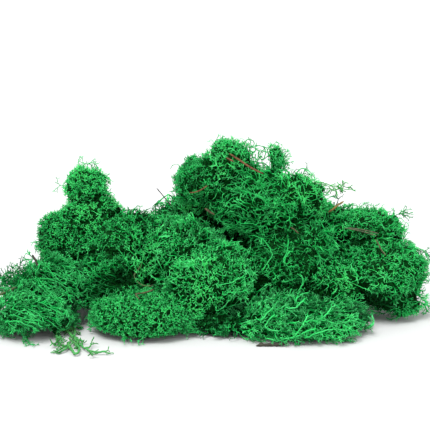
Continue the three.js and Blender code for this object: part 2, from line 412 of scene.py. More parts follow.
# A crown sprig stands up and ends in stars of fine tips, a curl is a few long bent threads, a stem
# runs just below the surface, a runner is a long pale one that lies on it and a thread is a fine one.
# Single branches have side ones, and those of a loose sprig are blunt. A step is a length, a fork of so
# many degrees with the chances of its branches, or the last tip. Lengths and radii are in mm, along is
# the place on the map, and hug is the height over the heap.
growths = {
    "crown": [
        {"fork": 52, "keep": (1, 0.95, 0.85)},
        {"length": 1.9, "radius": 0.30, "along": 0.40, "wander": 0.3},
        {"fork": 56, "keep": (1, 0.95, 0.7)},
        {"length": 1.7, "radius": 0.28, "along": 0.66, "wander": 0.35},
        {"fork": 66, "keep": (1, 0.9, 0.5)},
        {"spike": 1.35, "wander": 0.35},
    ],
    "curl": [
        {"fork": 40, "keep": (1, 0.8, 0.3)},
        {"length": 1.8, "radius": 0.32, "along": 0.40, "wander": 0.3},
        {"length": 1.7, "radius": 0.30, "along": 0.55, "wander": 0.4},
        {"fork": 40, "keep": (1, 0.6, 0.1)},
        {"length": 1.7, "radius": 0.28, "along": 0.70, "wander": 0.4},
        {"length": 1.6, "radius": 0.26, "along": 0.84, "wander": 0.4},
        {"spike": 1.5, "wander": 0.3},
    ],
    "stem": [
        {"length": 2.4, "radius": 0.40, "along": 0.34, "wander": 0.14},
        {"fork": 38, "keep": (1, 0.9, 0.3)},
        {"length": 2.3, "radius": 0.37, "along": 0.44, "wander": 0.2},
        {"length": 2.2, "radius": 0.34, "along": 0.54, "wander": 0.22},
        {"fork": 42, "keep": (1, 0.8, 0.3)},
        {"length": 2.1, "radius": 0.31, "along": 0.66, "wander": 0.22},
        {"fork": 48, "keep": (1, 0.8, 0.3)},
        {"length": 1.6, "radius": 0.28, "along": 0.80, "wander": 0.25},
        {"fork": 60, "keep": (1, 0.8, 0.4)},
        {"spike": 1.3, "wander": 0.3},
    ],
    "runner": [
        {"length": 2.4, "radius": 0.38, "along": 0.36, "wander": 0.2, "hug": 0.6},
        {"length": 2.4, "radius": 0.36, "along": 0.52, "wander": 0.22, "hug": 0.8},
        {"fork": 34, "keep": (1, 0.6, 0.0)},
        {"length": 2.4, "radius": 0.34, "along": 0.66, "wander": 0.24, "hug": 1.0},
        {"length": 2.3, "radius": 0.33, "along": 0.74, "wander": 0.24, "hug": 1.2},
        {"fork": 38, "keep": (1, 0.7, 0.1)},
        {"length": 2.2, "radius": 0.31, "along": 0.78, "wander": 0.26, "hug": 1.0},
        {"length": 2.0, "radius": 0.29, "along": 0.82, "wander": 0.28, "hug": 1.1},
        {"fork": 44, "keep": (1, 0.8, 0.2)},
        {"length": 1.7, "radius": 0.27, "along": 0.88, "wander": 0.3, "hug": 1.3},
        {"fork": 58, "keep": (1, 0.9, 0.4)},
        {"spike": 1.3, "wander": 0.3},
    ],
    "thread": [
        {"length": 2.2, "radius": 0.29, "along": 0.45, "wander": 0.25, "hug": 0.0},
        {"length": 2.2, "radius": 0.28, "along": 0.55, "wander": 0.25, "hug": 0.6},
        {"length": 2.1, "radius": 0.27, "along": 0.62, "wander": 0.3, "hug": 1.0},
        {"fork": 36, "keep": (1, 0.5, 0.0)},
        {"length": 2.1, "radius": 0.26, "along": 0.70, "wander": 0.3, "hug": 1.3},
        {"length": 2.0, "radius": 0.25, "along": 0.78, "wander": 0.35, "hug": 1.4},
        {"fork": 46, "keep": (1, 0.7, 0.2)},
        {"length": 1.6, "radius": 0.24, "along": 0.86, "wander": 0.35},
        {"spike": 1.5, "wander": 0.3},
    ],
    "side": [
        {"length": 1.7, "radius": 0.28, "along": 0.60, "wander": 0.3},
        {"fork": 50, "keep": (1, 0.8, 0.3)},
        {"length": 1.6, "radius": 0.26, "along": 0.76, "wander": 0.35},
        {"fork": 60, "keep": (1, 0.9, 0.5)},
        {"spike": 1.3, "wander": 0.35},
    ],
    "blunt": [
        {"length": 1.5, "radius": 0.50, "along": 0.60, "wander": 0.25},
        {"fork": 44, "keep": (1, 0.7, 0.1)},
        {"length": 1.4, "radius": 0.44, "along": 0.74, "wander": 0.3},
        {"length": 1.0, "radius": 0.42, "along": 0.86, "wander": 0.3},
        {"spike": 0.5, "wander": 0.2},
    ],
}
sprigs = {
    "spacing": 3.8,
    "coarse": 1.8,  # growth on the sides turned away from the camera
    "coarseFrom": 0.12,  # how far a side has turned away where that begins
    "coarseOver": 0.5,  # and how much further it is full
    "lumps": ((16.0, 2.6), (7.0, 1.7)),  # size and height
    "patch": (17.0, 1.3),  # size and strength of the places where stems lie closer
    "stemFacing": 0.72,  # stems grow where the surface faces less than this straight out from the root
    "stemOver": 0.3,
    "flatFacing": 0.97,  # and runners where it faces less than this
    "flatOver": 0.15,
    "curl": 0.2,
    "lengthSpread": (0.75, 1.25),
    "tipSpread": (0.7, 1.3),
    "hugging": 0.6,  # how closely what lies on the heap follows it
    "reach": 9.0,  # how far a branch may get past the CAD box
    "looseSink": 3.0,  # nothing lies loose in hollows deeper than this
}
floorGap = {"start": 1.0, "tip": 0.5, "lying": 0.6, "heart": 0.3, "tube": 0.2}  # nothing gets lower
weld = 0.01  # points of a CAD mesh that are this close are one, in mm

# Single branches that stand out: how thick, how pale, how many side branches, and lines drawn as the
# camera sees them, in mm across and up from the middle of its picture. They follow the surface of
# their tuft, or a level sheet at a height, or an upright sheet at a depth.
limbs = [
    {"tuft": "front_right_mat", "thick": 0.6, "tone": 0.61, "sides": 0.7, "lines": (
        ((63, -61), (60, -64), (56, -67), (50, -67)),
        ((42, -72), (39, -74), (36, -78), (40, -80), (45, -81)),
        ((70, -80), (64, -81), (59, -83), (55, -84), (49, -85), (44, -86), (38, -85)),
        ((55, -84), (59, -80), (62, -76), (65, -72)),
        ((62, -76), (70, -75), (77, -75), (84, -76), (94, -75), (99, -74)),
        ((63, -85), (70, -82), (77, -81), (84, -80), (92, -80)),
        ((72, -75), (77, -71), (81, -67), (84, -65)),
        ((89, -77), (93, -79), (99, -82)),
        ((74, -82), (75, -85), (77, -89)),
        ((33, -75), (37, -70), (42, -66)),
        ((57, -61), (61, -58), (65, -57)))},
    {"tuft": "right_hollow_tuft", "thick": 0.7, "tone": 0.58, "sides": 0.6, "lines": (
        ((57, -56), (58, -53), (61, -47), (60, -42)),
        ((45, -56), (51, -55), (53, -51)))},
    {"tuft": "right_hollow_tuft", "thick": 0.42, "tone": 0.66, "sides": 0.2, "lines": (
        ((13, -10), (19, -14), (25, -16), (32, -17), (37, -21), (40, -28), (38, -32), (35, -36)),
        ((67, -2), (71, -5), (74, -9)),
        ((69, -22), (74, -24), (78, -26)),
        ((51, -19), (50, -27), (48, -31), (50, -35), (53, -36)),
        ((54, -26), (51, -27), (49, -31)))},
    {"tuft": "shoulder_tuft", "thick": 0.38, "tone": 0.6, "sides": 0.3, "lines": (
        ((16, 17), (23, 15), (29, 13), (36, 9)),
        ((29, 19), (33, 15), (35, 10)),
        ((31, 20), (35, 15), (37, 10)),
        ((31, 4), (36, 6), (41, 9)),
        ((36, 9), (43, 8), (52, 7)),
        ((51, 3), (52, -5), (51, -11), (50, -18)),
        ((49, 2), (49, -6), (49, -12)),
        ((18, -4), (25, -4), (31, -6), (36, -6)),
        ((20, -9), (24, -10), (28, -11), (33, -9)))},
    {"tuft": "centre_high_dome", "thick": 0.44, "tone": 0.72, "sides": 0.25, "lines": (
        ((-34, -35), (-32, -33), (-29, -34), (-24, -34)),
        ((-22, -25), (-23, -27), (-24, -32)),
        ((-9, -11), (-5, -14), (-2, -15), (-4, -20), (-5, -25)),
        ((-6, -27), (1, -26), (3, -25)),
        ((-13, -23), (-12, -26), (-9, -26)))},
    {"tuft": "centre_low_dome", "thick": 0.45, "tone": 0.7, "sides": 0.25, "lines": (
        ((-33, -37), (-27, -37), (-21, -37), (-15, -36)),
        ((-24, -32), (-20, -35), (-12, -35)),
        ((3, -49), (8, -48), (13, -46), (18, -43)),
        ((6, -55), (10, -53), (19, -52)),
        ((1, -65), (6, -62), (9, -58)))},
    {"tuft": "left_back_mat", "thick": 0.44, "tone": 0.62, "sides": 0.25, "lines": (
        ((-124, -47), (-121, -52), (-113, -58), (-108, -60)),
        ((-123, -46), (-120, -50), (-116, -55), (-113, -58)),
        ((-125, -42), (-122, -38), (-118, -33), (-114, -32)),
        ((-118, -38), (-112, -44), (-108, -48)),
        ((-114, -32), (-106, -34), (-101, -37)),
        ((-120, -58), (-114, -59), (-110, -60)),
        ((-122, -46), (-116, -46), (-110, -48), (-104, -52)),
        ((-119, -41), (-113, -42), (-106, -45), (-100, -47)),
        ((-108, -54), (-103, -56), (-97, -60)))},
    {"tuft": "left_front_mat", "thick": 0.5, "tone": 0.64, "sides": 0.3, "lines": (
        ((-142, -71), (-134, -73), (-125, -75)),
        ((-141, -67), (-136, -69), (-130, -72), (-124, -75)),
        ((-130, -68), (-125, -70), (-121, -73)),
        ((-145, -75), (-137, -75), (-131, -77), (-126, -79)),
        ((-123, -63), (-117, -66), (-108, -71)))},
    {"tuft": "left_front_mat", "thick": 0.43, "tone": 0.47, "sides": 0.6, "height": 1.2, "lines": (
        ((-134, -80), (-132, -85), (-130, -90), (-126, -91)),
        ((-130, -83), (-132, -87), (-134, -89)),
        ((-146, -79), (-145, -83), (-144, -85)))},
    {"tuft": "trailing_sprig", "thick": 0.95, "tone": 0.62, "sides": 0.12, "height": 2.2, "lines": (
        ((-107, -77), (-104, -80), (-101, -84), (-97, -88), (-94, -91), (-90, -94), (-87, -95.5),
         (-83, -96), (-76, -96)),
        ((-103, -90), (-102, -92), (-100, -94.5), (-98.5, -97), (-96.5, -97), (-95, -95), (-95, -93),
         (-96.5, -90.5)),
        ((-102, -89), (-103, -92), (-105, -94), (-107, -95)),
        ((-104, -81), (-99, -85), (-96, -87), (-93, -88)))},
    {"tuft": "trailing_sprig", "thick": 0.64, "tone": 0.6, "sides": 0.4, "height": 2.6, "lines": (
        ((-108, -72), (-108, -78), (-109, -84), (-109, -88)),
        ((-91, -93), (-89, -93), (-87, -91.5), (-87, -89.5)),
        ((-88, -95), (-86, -97), (-85.5, -98)),
        ((-104, -91), (-107, -93), (-110, -95)),
        ((-106, -91), (-109, -91), (-112, -91)),
        ((-111, -81), (-111, -84), (-110, -88), (-109, -91)),
        ((-109, -83), (-108, -86), (-106, -89)),
        ((-111, -86), (-111, -88), (-112, -90)),
        ((-99, -79), (-98, -81), (-98, -84)),
        ((-103, -81), (-101, -79), (-97, -78)),
        ((-106, -81), (-103, -78), (-101, -75)),
        ((-99, -89), (-97, -91), (-98, -93)),
        ((-102, -86), (-100, -89), (-101, -91)))},
    {"tuft": "stray_ridge_sprig", "thick": 0.48, "tone": 0.85, "sides": 0.12, "depth": 6, "lines": (
        ((67, 22), (70, 23), (74, 23), (78, 22), (81, 21), (87, 19), (91, 18), (94, 18)),
        ((72, 23), (77, 21), (82, 20)))},
    {"tuft": "stray_ridge_sprig", "thick": 0.45, "tone": 0.83, "sides": 0.7, "depth": 6, "lines": (
        ((87, 19), (85, 18), (81, 18)),
        ((86, 20), (88, 18), (89, 15)),
        ((87, 18), (84, 17), (82, 17)),
        ((82, 20), (84, 18), (86, 16)),
        ((89, 19), (91, 20), (94, 19)),
        ((85, 20), (87, 21), (89, 20)),
        ((88, 19), (89, 21), (90, 22)))},
    {"tuft": "stray_crest_sprig", "thick": 0.48, "tone": 0.47, "sides": 0.9, "depth": 14, "lines": (
        ((125, -2), (127, 0), (130, 1)),
        ((129, 1), (132, 3), (135, 4)),
        ((129, 1), (133, 0), (136, -1)),
        ((129, 1), (133, 1.5), (137, 1)),
        ((131, 1), (132, 3), (132, 4.5)),
        ((131, 1), (132, -1), (134, -2)))},
    {"tuft": "ridge_tuft", "thick": 0.5, "tone": 0.1, "sides": 0.2, "depth": 1, "lines": (
        ((84, 5), (85, 8), (86, 11), (87, 12)),)},
    {"tuft": "ridge_tuft", "thick": 0.42, "tone": 0.3, "sides": 0.9, "depth": 4, "lines": (
        ((57, 20), (59, 25), (62, 30), (64, 33)),
        ((57, 19), (55, 24), (54, 27), (55, 30)))},
    {"tuft": "summit_right_lace", "thick": 0.47, "tone": 0.51, "sides": 0.15, "depth": 3, "lines": (
        ((25, 45), (26.5, 44), (28, 44), (28.5, 45.5), (28, 47), (28.5, 48.5), (32, 48.5), (34.5, 48),
         (37.5, 47)),
        ((20, 48.5), (20.5, 50), (22, 52.5), (24.5, 53), (27.5, 51.5), (28, 50), (26.5, 48),
         (24.5, 48.5), (25, 51.5)),
        ((28.5, 46), (31, 45), (33.5, 45), (36.5, 44), (38, 44.5)),
        ((31, 45), (30.5, 43), (30.5, 41), (32, 39.5), (34, 39.5), (37.5, 41.5)),
        ((33.5, 45), (32, 43), (31, 41.5)),
        ((35.5, 44.5), (35, 42), (34.5, 40)),
        ((26.5, 44), (26, 42.5), (27, 40.5), (29, 39.5), (30, 40.5)),
        ((29, 39.5), (29.5, 38), (30.5, 39.5)),
        ((32, 39.5), (33, 37.5), (33.5, 35), (34, 32), (33.5, 30)),
        ((34, 35), (35, 35.5), (36.5, 35), (37.5, 34)),
        ((29.5, 36), (31, 34.5), (34, 34.5)),
        ((28.5, 38), (29.5, 36), (29.5, 34), (30.5, 32)),
        ((33.5, 30.5), (36, 31), (37.5, 31.5), (38, 33.5), (38, 36)),
        ((33.5, 48), (34.5, 47), (35, 46), (34.5, 44.5)),
        ((37.5, 47), (37, 45), (37.5, 43)))},
    {"tuft": "summit_right_lace", "thick": 0.48, "tone": 0.55, "sides": 0.6, "depth": 4, "lines": (
        ((24.5, 38), (24, 42), (24.5, 45), (24, 47.5)),
        ((26.5, 35), (26, 38), (25.5, 40.5), (25, 43)),
        ((21.5, 40), (21, 45), (20, 47.5), (19.5, 50)),
        ((23, 39.5), (23, 43), (22, 46), (22.5, 49)),
        ((28, 31), (27.5, 34), (27, 37)),
        ((31, 29), (30.5, 31), (29, 33)))},
    {"tuft": "left_edge_tuft", "thick": 0.45, "tone": 0.36, "sides": 0.8, "depth": -18, "lines": (
        ((-137, -49), (-139, -43), (-140, -40), (-137, -36), (-135, -32)),
        ((-135, -51), (-140, -46), (-144, -43), (-145, -46), (-149, -48)),
        ((-134, -50), (-135, -44), (-134, -39), (-132, -36)),
        ((-132, -48), (-130, -42), (-129, -37), (-130, -34)),
        ((-135, -52), (-141, -49), (-146, -48), (-151, -50)),
        ((-132, -51), (-137, -48), (-141, -45), (-145, -43)),
        ((-131, -51), (-133, -46), (-137, -42), (-141, -40)),
        ((-135, -55), (-139, -57), (-142, -59)),
        ((-130, -48), (-132, -43), (-136, -39), (-137, -37)))},
    {"tuft": "left_edge_tuft", "thick": 0.6, "tone": 0.85, "sides": 0.5, "depth": -24, "lines": (
        ((-135, -53), (-142, -52), (-147, -51), (-152, -51)),)},
    {"tuft": "tower_head", "thick": 0.32, "tone": 0.6, "sides": 0.4, "depth": 0, "lines": (
        ((-95, 30), (-95, 34), (-96, 38)),
        ((-92, 31), (-92, 35), (-93, 38)),
        ((-90, 31), (-89, 35), (-87, 37)),
        ((-87, 30), (-85, 34), (-83, 36)),
        ((-83, 29), (-82, 32), (-83, 35)),
        ((-93, 34), (-90, 36), (-88, 36)),
        ((-106, 20), (-109, 21), (-110, 23)),
        ((-108, 21), (-109, 20), (-111, 19)))},
    {"tuft": "tower_neck", "thick": 0.32, "tone": 0.4, "sides": 0.7, "depth": -8, "lines": (
        ((-75, 6), (-72, 7), (-69, 10)),)},
]


def surfaceOf(names):
    bm = bmesh.new()
    for name in names:
        bm.from_mesh(frame["nodes"][name].data)
    tree = BVHTree.FromBMesh(bm)
    bm.free()
    return tree


heap = surfaceOf(tufts)


def randomVector(rng):
    return Vector((rng.gauss(0, 1), rng.gauss(0, 1), rng.gauss(0, 1)))


def clamp(value, low=0.0, high=1.0):
    return min(high, max(low, value))


# Tones of the branches. Besides the spread, which is at random, these paint light and shade into them:
# light on raised lumps and lifted sprigs, shade between the tufts and on the lower side of a branch.
toneAndShade = {
    "limits": (0.02, 0.95),
    "spread": 0.12,
    "lump": 0.04,  # painted light, gained on each mm that a lump rises
    "lift": 0.3,
    "shadeBetween": 0.14,  # painted shade, lost between the tufts
    "underside": 0.28,  # painted shade, lost on the lower side of a branch
    "undersideFrom": 0.4,
}


def someTone(tone, spread, rng):
    return clamp(tone + rng.gauss(0, spread), *toneAndShade["limits"])


def toneShadedBelow(tone, arm):
    # painted shade: a branch is darker on its lower side
    return max(0, tone - toneAndShade["underside"] * clamp(toneAndShade["undersideFrom"] - arm.normalized().z))


def coarseness(normal):
    # growth is fine on the sides that the camera sees and coarser behind
    away = clamp((-sprigs["coarseFrom"] - normal.dot(toCamera)) / sprigs["coarseOver"])
    return 1 + (sprigs["coarse"] - 1) * away


def sinkAt(place):
    return sum(depth * clamp(1 - (place / mm - Vector(middle)).length / radius) ** 0.5
               for middle, radius, depth, _ in spots)


def shadeAt(place):
    return sum(change * clamp(1 - (place / mm - Vector(middle)).length / radius) ** 0.5
               for middle, radius, _, change in spots)


def lumpAt(place, shift, relief):
    lumps = sum(noise.noise(place / (width * mm) + shift) * height for width, height in sprigs["lumps"])
    return lumps * relief - sinkAt(place)


# Rays look for the other tufts around a point, and the near ones push its sprig out of the crease.
crease = {
    "rays": 14,
    "spread": 0.95,
    "start": 0.8,
    "far": 45,
    "near": 13.0,
    "turn": 2.0,  # how far the push turns a sprig
    "fill": 9.0,  # how far it lifts one
    "overhang": 2.5,  # but less where a tuft overhangs
    "hollow": 2,  # and not in a hollow this deep
}


def roomAround(place, normal, others, rng):
    # the free share of the room in front of a point, and the way out of the crease it may lie in
    free = 0
    push = Vector()
    near = crease["near"] * mm
    for _ in range(crease["rays"]):
        ray = (normal + randomVector(rng).normalized() * crease["spread"]).normalized()
        distance = others.ray_cast(place + normal * crease["start"] * mm, ray, crease["far"] * mm)[3]
        if distance is None:
            free += 1
        elif distance < near:
            push -= ray * (1 - distance / near)
    return free / crease["rays"], push / crease["rays"]


def mergedCopy(node):
    bm = bmesh.new()
    bm.from_mesh(node.data)
    bmesh.ops.remove_doubles(bm, verts=bm.verts, dist=weld * mm)
    return bm


strewing = {
    "tries": 7,  # for every place
    "closest": 0.84,  # share of the spacing
    "underside": {"height": 3, "facing": -0.3},  # where a tuft stands on the floor
    "contact": {"start": 0.1, "gap": 1.6},  # where it leans on another
    "leastRoom": 0.15,
    "bareSink": 12,  # a hollow this deep has no branches
    "bareShade": 0.7,  # and one darker than this has fewer
}


def pointsOver(node, look, others, rng):
    # evenly strewn points on the part of a tuft that its neighbours leave bare
    bm = mergedCopy(node)
    bm.normal_update()
    faces = list(bm.faces)
    areas = [face.calc_area() for face in faces]
    finest = sprigs["spacing"] * look["size"] * mm
    cell = finest * sprigs["coarse"]
    grid = {}
    points = []
    underside = strewing["underside"]
    contact = strewing["contact"]
    for face in rng.choices(faces, weights=areas, k=int(sum(areas) / finest ** 2 * strewing["tries"])):
        a, b, c = face.verts
        s = math.sqrt(rng.random())
        t = rng.random()
        share = (1 - s, s * (1 - t), s * t)
        place = a.co * share[0] + b.co * share[1] + c.co * share[2]
        normal = (a.normal * share[0] + b.normal * share[1] + c.normal * share[2]).normalized()
        size = look["size"] * coarseness(normal)
        apart = sprigs["spacing"] * size * strewing["closest"] * mm
        key = tuple(int(math.floor(x / cell)) for x in place)
        near = [other for i in (-1, 0, 1) for j in (-1, 0, 1) for k in (-1, 0, 1)
                for other in grid.get((key[0] + i, key[1] + j, key[2] + k), ())]
        if any((place - other).length < apart for other in near):
            continue
        if place.z < underside["height"] * mm and normal.z < underside["facing"]:
            continue
        start = place + normal * contact["start"] * mm
        if others.ray_cast(start, normal, contact["gap"] * mm)[0] is not None:
            continue
        room, push = roomAround(place, normal, others, rng)
        bare = max(sinkAt(place) / strewing["bareSink"], -strewing["bareShade"] - shadeAt(place))
        if room < strewing["leastRoom"] or rng.random() < bare:
            continue
        grid.setdefault(key, []).append(place)
        points.append((place, normal, size, room, push))
    bm.free()
    return points


class Strand:
    # a growing branch: the way it takes, how that bends, and its tone, size and calm
    def __init__(self, way, bend, tone, size, calm=1.0):
        self.way = way
        self.bend = bend
        self.tone = tone
        self.size = size
        self.calm = calm


stub = {"length": 1.5, "base": 0.42, "top": 0.4, "along": 0.05, "topAlong": 0.1}


def startStub(bm, layers, start, strand, number, rng, along=stub["along"]):
    # each branch starts as a closed three-sided stub
    length = stub["length"] * strand.size * mm
    turn = strand.way.to_track_quat("Z", "Y").to_matrix().to_4x4()
    turn = turn @ Matrix.Rotation(rng.random() * math.tau, 4, "Z")
    made = bmesh.ops.create_cone(bm, segments=3, cap_ends=True, depth=length,
                                 radius1=stub["base"] * strand.size * mm,
                                 radius2=stub["top"] * strand.size * mm,
                                 matrix=Matrix.Translation(start + strand.way * length / 2) @ turn)["verts"]
    for vert in made:
        isTop = (vert.co - start).dot(strand.way) > length / 2
        vert[layers["tone"]] = strand.tone
        vert[layers["along"]] = along + (stub["topAlong"] if isTop else 0.0)
    caps = {face for vert in made for face in vert.link_faces if len(face.verts) == 3}
    top = max(caps, key=lambda face: face.calc_center_median().dot(strand.way))
    top[layers["strand"]] = number
    return top


# Shares of outwards, sideways and any way in a branch's first way, and how deep and how far back it
# starts in mm.
starts = {
    "crown": {"side": 0.3, "stray": 0.2, "depth": 6.0},
    "curl": {"side": 0.3, "stray": 0.2, "depth": 8.0},
    "stem": {"out": 0.35, "side": 0.9, "stray": 0.22, "depth": 2.4, "back": 4.0},
    "thread": {"out": 0.5, "stray": 0.7, "depth": 2.4, "back": 2.5},
    "runner": {"out": 0.15, "stray": 0.45, "depth": 0.8, "back": 3.0},
}


def chooseKind(look, draw, lying, flat, isHollow, rng):
    if not isHollow:
        if draw < look["runners"] * flat:
            return "runner"
        if draw < look["runners"] * flat + look["threads"]:
            return "thread"
    if rng.random() < lying:
        return "stem"
    return "curl" if rng.random() < look["curls"] else "crown"


def startSprigs(bm, layers, points, root, look, shift, rng):
    # every sprig starts below the surface of its tuft
    strands = []
    started = {kind: [] for kind in starts}
    for place, normal, size, room, push in points:
        outwards = (place - root).normalized()
        facing = outwards.dot(normal)
        sideways = (outwards - normal * facing).normalized()
        patch = noise.noise(place / (sprigs["patch"][0] * mm) + shift) * sprigs["patch"][1]
        lying = clamp((sprigs["stemFacing"] - facing) / sprigs["stemOver"] + look["lying"] + patch)
        flat = clamp((sprigs["flatFacing"] - facing) / sprigs["flatOver"])
        lump = lumpAt(place, shift, look["relief"])
        sink = sinkAt(place)
        lift = push.length * crease["fill"] * clamp(1 + normal.z * crease["overhang"])
        lift *= clamp(1 - sink / crease["hollow"])
        wayOut = (normal + push * crease["turn"]).normalized()
        draw = rng.random()
        stray = randomVector(rng)
        stray -= normal * stray.dot(normal)
        kind = chooseKind(look, draw, lying, flat, sink >= sprigs["looseSink"], rng)
        first = starts[kind]
        if kind == "runner":
            way = (sideways + stray * first["stray"] + normal * first["out"]).normalized()
            start = place - (normal * first["depth"] + way * first["back"]) * mm
            size = size * look["runnerSize"]
        elif kind == "thread":
            way = (sideways * flat + stray * first["stray"] + wayOut * first["out"]).normalized()
            start = place - (wayOut * (first["depth"] - lift) + way * first["back"]) * mm
        elif kind == "stem":
            way = wayOut * first["out"] + sideways * first["side"] + randomVector(rng) * first["stray"]
            way.normalize()
            start = place - (wayOut * (first["depth"] - lump - lift) + sideways * first["back"]) * mm
        else:
            way = (wayOut + sideways * first["side"] + randomVector(rng) * first["stray"]).normalized()
            start = place - wayOut * (first["depth"] * size - lump - lift) * mm
        start.z = max(start.z, floorGap["start"] * mm)
        # painted light where a lump rises or a sprig is lifted out of a crease, the spots' painted shade
        # and light, and painted shade where other tufts close the room in front
        tone = look["runnerTone"]
        if kind != "runner":
            tone = look["tone"] + (lump + lift * toneAndShade["lift"]) * toneAndShade["lump"]
        tone += shadeAt(place) - (1 - room) * toneAndShade["shadeBetween"]
        tone = someTone(tone, toneAndShade["spread"], rng)
        bend = randomVector(rng).normalized() * sprigs["curl"] * (2 if kind in ("curl", "thread") else 1)
        strand = Strand(way, bend, tone, size, 1.0 if kind in ("crown", "curl") else look["calm"])
        started[kind].append(startStub(bm, layers, start, strand, len(strands), rng))
        strands.append(strand)
    return strands, started


def heading(strand, wander, rng):
    way = strand.way + (strand.bend + randomVector(rng) * wander) * strand.calm
    return way.normalized()


def withinReach(place):
    # nothing strays far from the heap
    reach = sprigs["reach"] * mm
    for side in (0, 1):
        place[side] = clamp(place[side], cadBox[0][side] - reach, cadBox[1][side] + reach)
    return place


def aboveFloor(middle, way, length):
    lowest = floorGap["tip"] * mm
    if middle.z + way.z * length < lowest:
        way.z = max(0.0, lowest - middle.z) / length
        way.normalize()
    return way


def extend(bm, layers, tips, strands, step, rng):
    caps = bmesh.ops.extrude_discrete_faces(bm, faces=tips)["faces"]
    for cap in caps:
        strand = strands[cap[layers["strand"]]]
        length = step["length"] * strand.size * rng.uniform(*sprigs["lengthSpread"]) * mm
        middle = cap.calc_center_median()
        strand.way = aboveFloor(middle, heading(strand, step["wander"], rng), length)
        target = middle + strand.way * length
        if "hug" in step:
            near, normal = heap.find_nearest(target)[:2]
            target = target.lerp(near + normal * step["hug"] * mm, sprigs["hugging"])
            target.z = max(target.z, floorGap["lying"] * mm)
            strand.way = (target - middle).normalized()
        target = withinReach(target)
        for vert in cap.verts:
            arm = vert.co - middle
            arm -= strand.way * arm.dot(strand.way)
            vert.co = target + arm.normalized() * step["radius"] * strand.size * mm
            vert[layers["along"]] = step["along"]
            vert[layers["tone"]] = toneShadedBelow(strand.tone, arm)
    return caps


def spike(bm, layers, tips, strands, step, rng):
    points = bmesh.ops.poke(bm, faces=tips)["verts"]
    for point in points:
        strand = strands[point.link_faces[0][layers["strand"]]]
        length = step["spike"] * strand.size * rng.uniform(*sprigs["tipSpread"]) * mm
        way = aboveFloor(point.co, heading(strand, step["wander"], rng), length)
        point.co = withinReach(point.co + way * length)
        point[layers["along"]] = 1.0
        point[layers["tone"]] = strand.tone


forks = {"rise": 0.25, "spread": (0.7, 1.3), "leader": 0.55, "inwards": 0.6, "toneSpread": 0.07}


def fork(bm, layers, tips, strands, step, rng):
    # the three faces of a poked tip part, and each that is kept becomes a branch of its own
    along = tips[0].verts[0][layers["along"]]
    middles = {tip[layers["strand"]]: tip.calc_center_median() for tip in tips}
    made = bmesh.ops.poke(bm, faces=tips)
    families = {}
    for face in made["faces"]:
        families.setdefault(face[layers["strand"]], []).append(face)
    for point in made["verts"]:
        parent = strands[point.link_faces[0][layers["strand"]]]
        point.co += parent.way * forks["rise"] * parent.size * mm
        point[layers["along"]] = along
        point[layers["tone"]] = parent.tone
    kept = []
    for number, faces in families.items():
        parent = strands[number]
        rng.shuffle(faces)
        for rank, (face, chance) in enumerate(zip(faces, step["keep"])):
            if rng.random() > chance:
                continue
            outwards = face.calc_center_median() - middles[number]
            outwards = (outwards - parent.way * outwards.dot(parent.way)).normalized()
            spread = math.radians(step["fork"]) * rng.uniform(*forks["spread"])
            spread *= forks["leader"] if rank == 0 else 1.0
            spread *= (1 + parent.calm) / 2
            way = parent.way * math.cos(spread) + outwards * math.sin(spread)
            bend = (randomVector(rng).normalized() - outwards * forks["inwards"]).normalized()
            face[layers["strand"]] = len(strands)
            tone = someTone(parent.tone, forks["toneSpread"], rng)
            strands.append(Strand(way, bend * parent.bend.length, tone, parent.size, parent.calm))
            kept.append(face)
    return kept


def grow(bm, layers, tips, strands, growth, rng):
    for step in growth:
        if not tips:
            return
        if "fork" in step:
            tips = fork(bm, layers, tips, strands, step, rng)
        elif "spike" in step:
            spike(bm, layers, tips, strands, step, rng)
        else:
            tips = extend(bm, layers, tips, strands, step, rng)


def smoothPath(points, apart):
    # evenly spaced places on a soft curve through the points
    points = [Vector(point) * mm for point in points]
    points = [points[0] * 2 - points[1]] + points + [points[-1] * 2 - points[-2]]
    places = []
    for a, b, c, d in zip(points, points[1:], points[2:], points[3:]):
        parts = max(1, round((c - b).length / (apart * mm)))
        for part in range(parts):
            t = part / parts
            places.append(0.5 * (2 * b + (c - a) * t + (2 * a - 5 * b + 4 * c - d) * t ** 2
                                 + (3 * b - a - 3 * c + d) * t ** 3))
    return places + [points[-2]]


def partnerOf(vert, ring):
    # the vert at the other end of the tube
    ends = [edge.other_vert(vert) for edge in vert.link_edges]
    return next(end for end in ends if end not in ring)


def sweep(bm, places, corners, halves, tip):
    # a closed tube along the places, whose rings are returned. halves gives its half width and
    # half thickness in mm at a share of its length and a corner
    made = bmesh.ops.create_cone(bm, segments=corners, radius1=mm, radius2=mm, depth=mm,
                                 cap_ends=True)["verts"]
    caps = {face for vert in made for face in vert.link_faces if len(face.verts) == corners}
    base, cap = sorted(caps, key=lambda face: face.calc_center_median().z)
    ring = list(cap.verts)
    rings = [[partnerOf(vert, ring) for vert in ring]]
    for index, place in enumerate(places):
        if index > 1:
            cap = bmesh.ops.extrude_discrete_faces(bm, faces=[cap])["faces"][0]
        if index > 0:
            rings.append(list(cap.verts))
        way = (places[min(index + 1, len(places) - 1)] - places[max(index - 1, 0)]).normalized()
        side = way.cross(toCamera).normalized()
        out = way.cross(side)
        for corner, vert in enumerate(rings[index]):
            wide, thick = halves(index / (len(places) - 1), corner)
            angle = math.tau * corner / corners
            vert.co = place + (side * math.cos(angle) * wide + out * math.sin(angle) * thick) * mm
            vert.co.z = max(vert.co.z, floorGap["tube"] * mm)
    ends = bmesh.ops.poke(bm, faces=[base, cap])["verts"]
    for point in ends:
        isStart = (point.co - places[0]).length < (point.co - places[-1]).length
        way = places[0] - places[1] if isStart else places[-1] - places[-2]
        point.co += way.normalized() * tip * mm
        rings[0 if isStart else -1].append(point)
    return rings


def onPlane(way, side, level):
    # where a line of sight reaches a level, in mm, of one coordinate
    return eye + way * (level * mm - eye[side]) / way[side]


